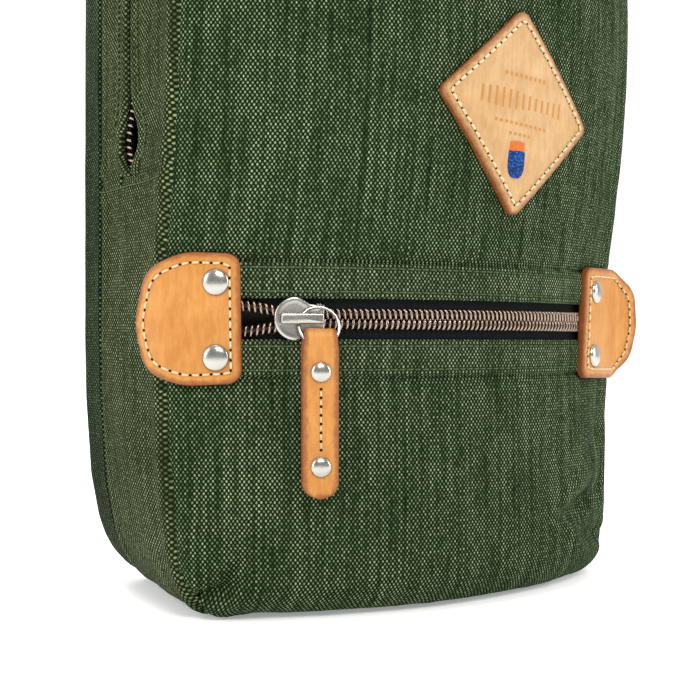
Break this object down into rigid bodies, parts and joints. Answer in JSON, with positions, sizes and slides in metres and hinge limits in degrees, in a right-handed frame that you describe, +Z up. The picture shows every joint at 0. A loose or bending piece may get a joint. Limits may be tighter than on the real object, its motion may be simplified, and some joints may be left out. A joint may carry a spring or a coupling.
{
  "type": "upright satchel bag",
  "caption": "Upright soft satchel with a curved front zip pocket, leather zip tabs and pull, a top zip, a rolled handle and side rings.",
  "frame": {"origin": "on the ground under the middle of the bag, at the centre of its front zip arc's width", "axes": "+X to the bag's left-to-right as seen from the front, -Y out of the front, +Z up"},
  "size_m": [0.2169, 0.1272, 0.3956],
  "materials": {
    "front_fabric": "dark green and black basket-weave nylon with light green flecks",
    "gusset_fabric": "olive green basket-weave nylon",
    "band_fabric": "dark green coarse-rib nylon",
    "back_mesh": "padded black spacer mesh",
    "lining_cloth": "plain woven lining",
    "zip_tape": "black knitted zip tape",
    "zip_coil": "metallised coil, gunmetal to bronze",
    "nickel": "polished nickel, soft highlights",
    "leather": "honey vegetable-tanned leather, burnished edges, cream stitching",
    "tag_cloth": "small woven tag, plain",
    "board": "stiff base board"
  },
  "bodies": {
    "bag": {"front_panel_upper": "front_fabric", "front_panel_lower": "front_fabric", "zip_facing_upper": "front_fabric", "zip_facing_lower": "front_fabric", "front_zip_coil_upper": "zip_coil", "front_zip_coil_lower": "zip_coil", "front_zip_tape_upper": "zip_tape", "front_zip_tape_lower": "zip_tape", "leather_tab_left": "leather", "leather_tab_right": "leather", "tab_rivets_left": "nickel", "tab_rivets_right": "nickel", "label_diamond": "leather", "label_tag": "tag_cloth", "gusset_lower": "gusset_fabric", "gusset_strip_front": "gusset_fabric", "gusset_strip_rear": "gusset_fabric", "main_zip_tape_front": "zip_tape", "main_zip_tape_rear": "zip_tape", "main_zip_coil_front": "zip_coil", "main_zip_coil_rear": "zip_coil", "zip_end_tab_left": "gusset_fabric", "zip_end_tab_right": "gusset_fabric", "back_band": "band_fabric", "back_panel": "back_mesh", "back_foam": "lining_cloth", "pocket_divider": "lining_cloth", "gusset_lining": "lining_cloth", "slip_pocket": "lining_cloth", "base_board": "board", "handle_anchors": "leather", "ring_anchor_left": "leather", "ring_anchor_right": "leather"},
    "front_zip_slider": {"front_zip_slider": "nickel"},
    "zip_pull_ring": {"zip_pull_ring": "nickel"},
    "zip_pull": {"pull_leather": "leather", "pull_rivets": "nickel"},
    "main_slider_left": {"main_slider_left": "nickel"},
    "main_slider_right": {"main_slider_right": "nickel"},
    "main_pull_left": {"main_pull_loop_left": "nickel", "main_pull_leather_left": "leather"},
    "main_pull_right": {"main_pull_loop_right": "nickel", "main_pull_leather_right": "leather"},
    "top_handle": {"handle_rings": "nickel", "top_handle": "leather"},
    "side_ring_left": {"side_ring_left": "nickel"},
    "side_ring_right": {"side_ring_right": "nickel"}
  },
  "joints": [
    {"name": "front_zip_run", "type": "hinge", "parent": "bag", "child": "front_zip_slider", "pos_m": [0, 0.104, 0.1], "axis": [0, 0, 1], "range_deg": [-3, 38]},
    {"name": "pull_ring_swing", "type": "hinge", "parent": "front_zip_slider", "child": "zip_pull_ring", "pos_m": [-0.05846, -0.05534, 0.1], "axis": [-0.4692, -0.1646, -0.8676], "range_deg": [0, 45]},
    {"name": "pull_lift", "type": "hinge", "parent": "zip_pull_ring", "child": "zip_pull", "pos_m": [-0.05355, -0.0598, 0.09311], "axis": [-0.9391, 0.3437, 0], "range_deg": [0, 40]},
    {"name": "main_zip_left", "type": "slide", "parent": "bag", "child": "main_slider_left", "axis": [-1, 0, 0], "range_m": [0, 0.045]},
    {"name": "main_zip_right", "type": "slide", "parent": "bag", "child": "main_slider_right", "axis": [1, 0, 0], "range_m": [0, 0.045]},
    {"name": "main_pull_lift_left", "type": "hinge", "parent": "main_slider_left", "child": "main_pull_left", "pos_m": [-0.013, -0.002, 0.3352], "axis": [0, 1, 0], "range_deg": [0, 95]},
    {"name": "main_pull_lift_right", "type": "hinge", "parent": "main_slider_right", "child": "main_pull_right", "pos_m": [0.013, -0.002, 0.3352], "axis": [0, -1, 0], "range_deg": [0, 95]},
    {"name": "handle_fold", "type": "hinge", "parent": "bag", "child": "top_handle", "pos_m": [0, 0.038, 0.3386], "axis": [-1, 0, 0], "range_deg": [-55, 55]},
    {"name": "side_ring_swing_left", "type": "hinge", "parent": "bag", "child": "side_ring_left", "pos_m": [-0.1046, 0.0375, 0.288], "axis": [0, 1, 0], "range_deg": [0, 150]},
    {"name": "side_ring_swing_right", "type": "hinge", "parent": "bag", "child": "side_ring_right", "pos_m": [0.1046, 0.0375, 0.288], "axis": [0, -1, 0], "range_deg": [0, 150]}
  ]
}
